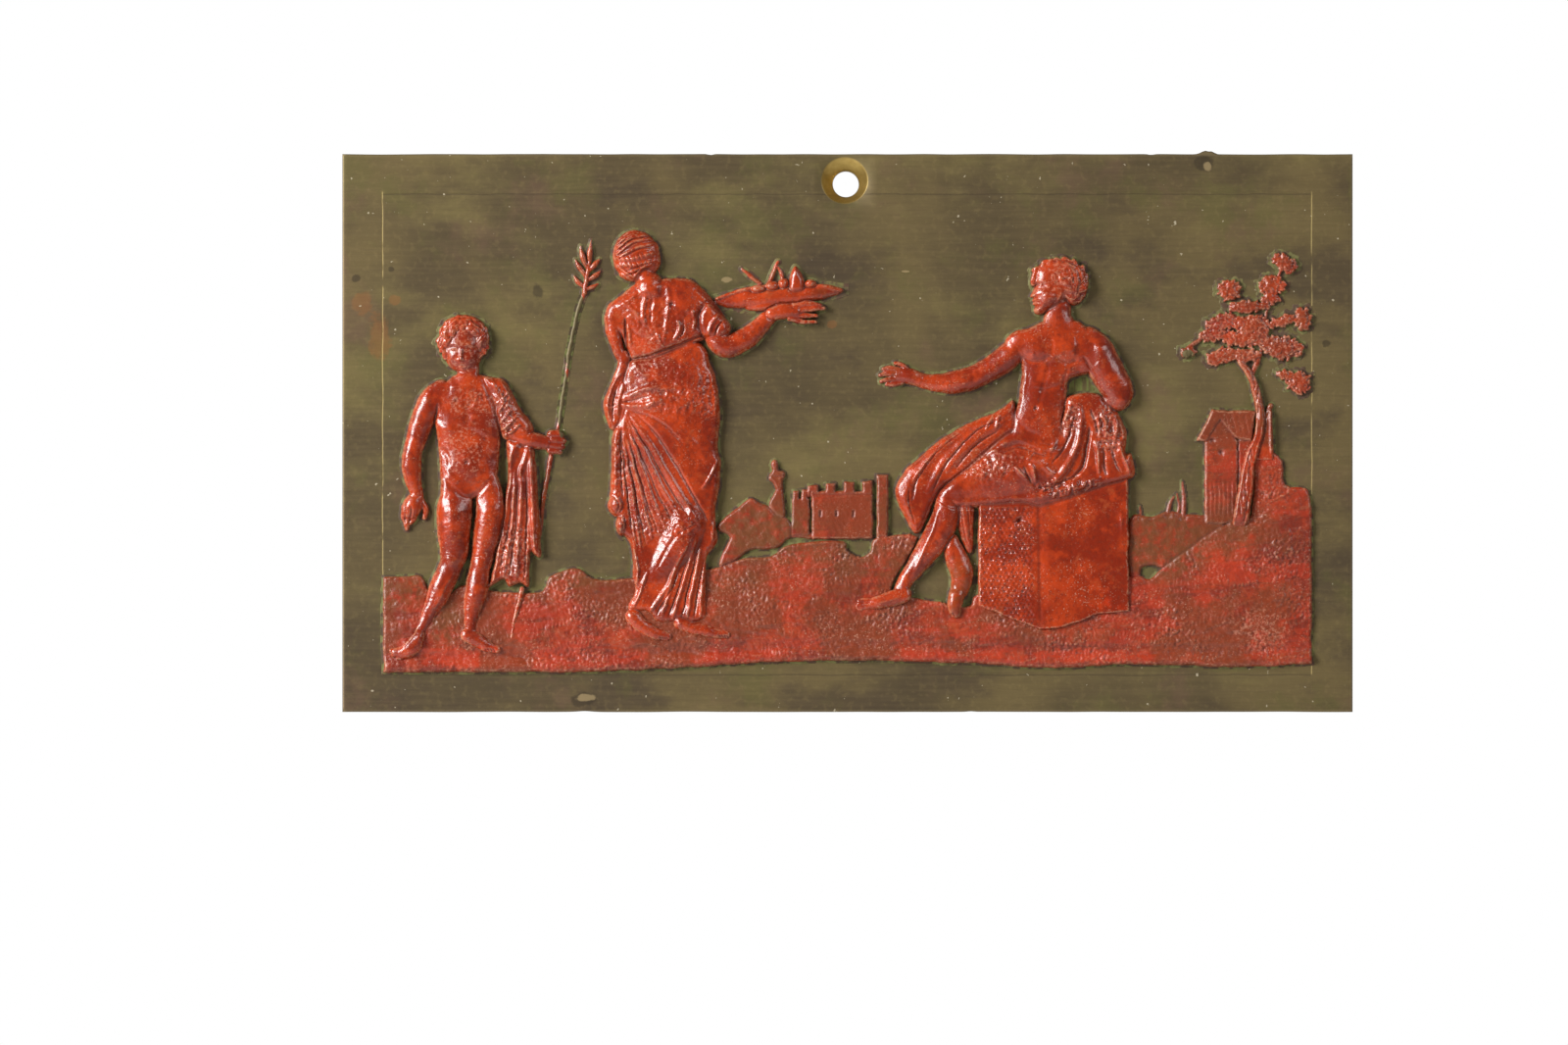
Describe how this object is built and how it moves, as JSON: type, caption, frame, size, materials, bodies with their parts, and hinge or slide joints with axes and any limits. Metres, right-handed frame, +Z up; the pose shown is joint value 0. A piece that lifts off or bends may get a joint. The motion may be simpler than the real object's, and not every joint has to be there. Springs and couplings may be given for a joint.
{
  "type": "relief plaque",
  "caption": "Small rectangular brass wall plaque with red-coated figures, a landscape, a castle and a tree raised on its front, hung by a countersunk screw hole near its top edge",
  "frame": {"origin": "centre of the flat back face, on the wall that the plaque hangs on", "axes": "+X to the right along the plaque's width as it is looked at, +Y into the wall, +Z up"},
  "size_m": [0.0982, 0.0044, 0.0542],
  "materials": {
    "brass": "dark olive patina, finely brushed, with verdigris by the relief",
    "red_coat": "glossy red sealing coat, rubbed thin on the high and far parts"
  },
  "bodies": {
    "root": {"plaque": "brass"}
  },
  "joints": []
}
